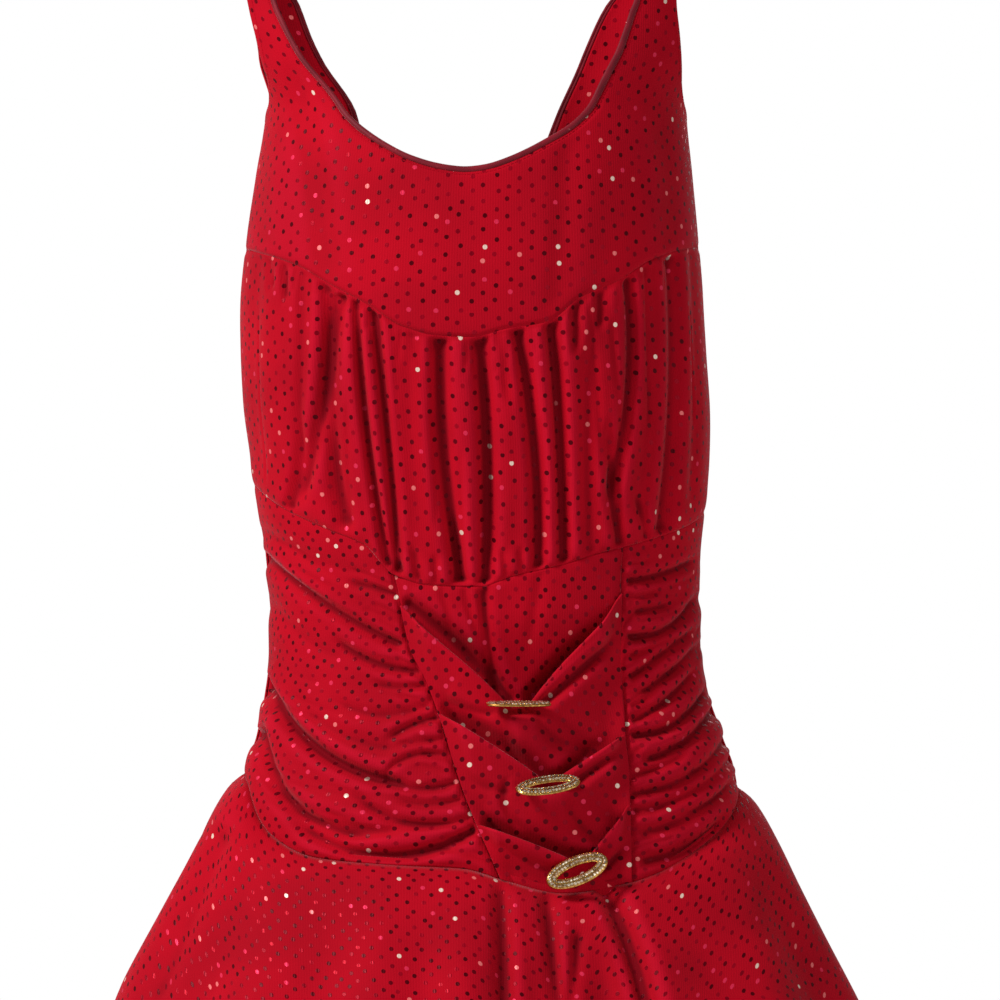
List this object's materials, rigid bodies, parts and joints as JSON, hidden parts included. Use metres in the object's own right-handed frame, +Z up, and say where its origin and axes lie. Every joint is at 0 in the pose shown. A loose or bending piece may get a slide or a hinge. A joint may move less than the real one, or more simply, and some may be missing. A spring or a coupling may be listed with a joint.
{
  "type": "leotard dress",
  "caption": "Leotard dress with a scooped yoke on two straps, gathered bust, ruched sides, drapes drawn in by oval rings, deep V back, flared skirt and brief.",
  "frame": {"origin": "midway between the tops of the two straps, where the garment is held", "axes": "+Z up out of the neck, -Y out of the front, +X to the right of the front as the picture shows it"},
  "size_m": [0.5944, 0.4185, 0.8807],
  "materials": {
    "knit": "red stretch knit with foil dots",
    "binding": "dark red folded binding",
    "ring": "polished gold plate"
  },
  "bodies": {
    "root": {"front_yoke": "knit", "front_bust": "knit", "front_centre": "knit", "side_panel_left": "knit", "side_panel_right": "knit", "drape_upper": "knit", "drape_middle": "knit", "drape_lower": "knit", "ring_upper": "ring", "ring_middle": "ring", "ring_lower": "ring", "back_panel": "knit", "back_midriff": "knit", "neck_binding_front": "binding", "neck_binding_back": "binding", "skirt_front": "knit", "skirt_back": "knit", "brief_front": "knit", "brief_back": "knit"}
  },
  "joints": []
}
